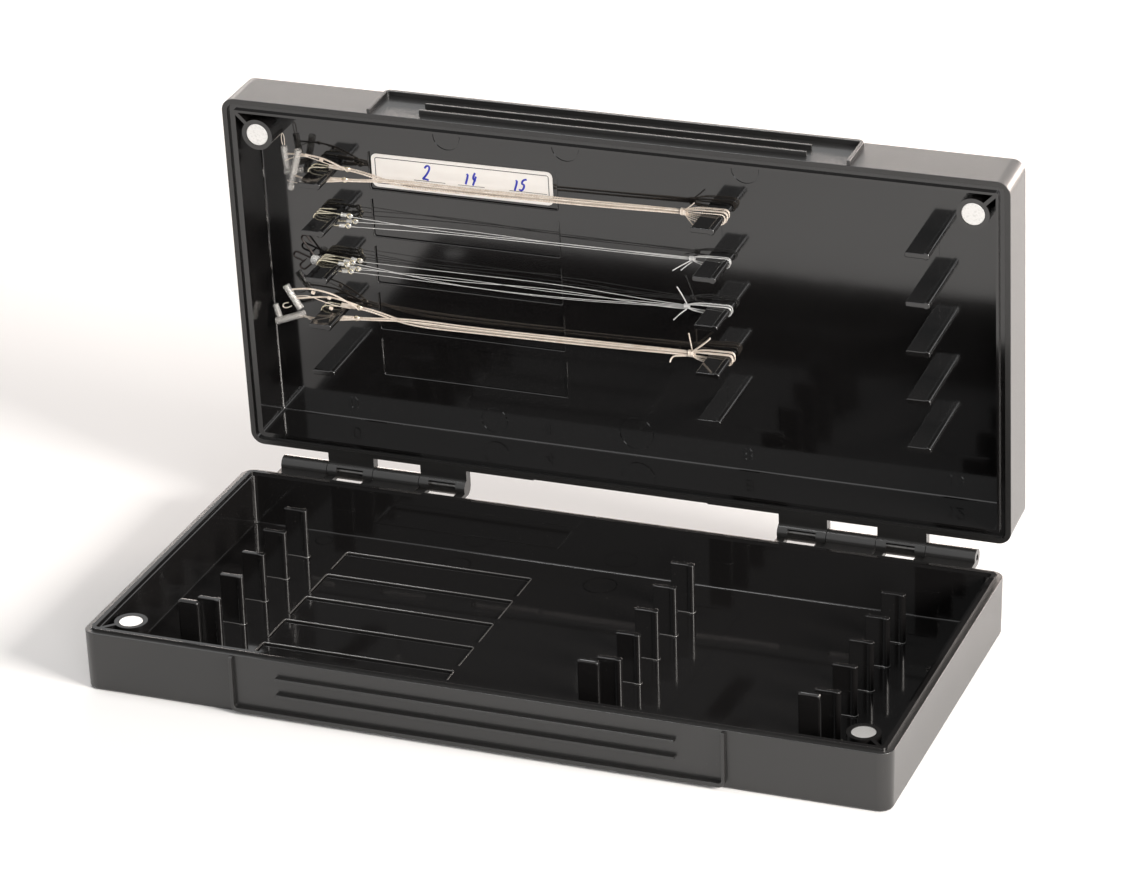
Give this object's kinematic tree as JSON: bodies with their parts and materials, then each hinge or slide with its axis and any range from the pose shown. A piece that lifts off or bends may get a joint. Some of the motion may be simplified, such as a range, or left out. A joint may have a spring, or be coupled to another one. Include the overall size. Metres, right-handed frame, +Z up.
{
  "type": "hinged hook rig case",
  "caption": "Flat rectangular two-tray case, open like a book on pinned knuckle hinges, with columns of pegs holding wound hook rigs and magnets in the front corners.",
  "frame": {"origin": "centre of the base tray's flat underside", "axes": "+X along the long side to the right, +Y from the front grip to the hinge, +Z up; the lid stands open"},
  "size_m": [0.384, 0.2221, 0.2264],
  "materials": {
    "case_plastic": "satin outside, polished inside",
    "pin_steel": "plain drawn wire",
    "magnet": "bright nickel plating",
    "label_paper": "matt paper with plain hand numbers",
    "braid": "braided cord",
    "clear_line": "clear nylon",
    "hook_gold": "polished wire",
    "hook_dark": "black nickel",
    "soft_tube": "clear soft silicone"
  },
  "bodies": {
    "base": {"base_tray": "case_plastic", "base_magnet_left": "magnet", "base_magnet_right": "magnet", "hinge_pin_left": "pin_steel", "hinge_pin_right": "pin_steel"},
    "lid": {"lid_magnet_left": "magnet", "lid_magnet_right": "magnet", "lid_tray": "case_plastic", "rig_1_hair_a": "braid", "rig_1_hair_b": "braid", "rig_1_hook_a": "hook_gold", "rig_1_hook_b": "hook_gold", "rig_1_line": "braid", "rig_1_stop_a": "soft_tube", "rig_1_stop_b": "soft_tube", "rig_2_hook_a": "hook_gold", "rig_2_hook_b": "hook_gold", "rig_2_hook_c": "hook_gold", "rig_2_line": "clear_line", "rig_3_hook_a": "hook_gold", "rig_3_hook_b": "hook_gold", "rig_3_hook_c": "hook_gold", "rig_3_hook_d": "hook_gold", "rig_3_hook_e": "hook_gold", "rig_3_line": "clear_line", "rig_3_point_a": "hook_dark", "rig_3_point_b": "hook_dark", "rig_3_point_c": "hook_dark", "rig_3_tie": "clear_line", "rig_4_hair_a": "braid", "rig_4_hair_b": "braid", "rig_4_hair_c": "braid", "rig_4_hook_a": "hook_gold", "rig_4_hook_b": "hook_gold", "rig_4_line": "braid", "rig_4_stop_a": "soft_tube", "rig_4_stop_b": "soft_tube", "rig_label": "label_paper"}
  },
  "joints": [
    {"name": "lid_hinge", "type": "hinge", "parent": "base", "child": "lid", "pos_m": [0, 0.10115, 0.03], "axis": [1, 0, 0], "range_deg": [0, 86.58]}
  ]
}
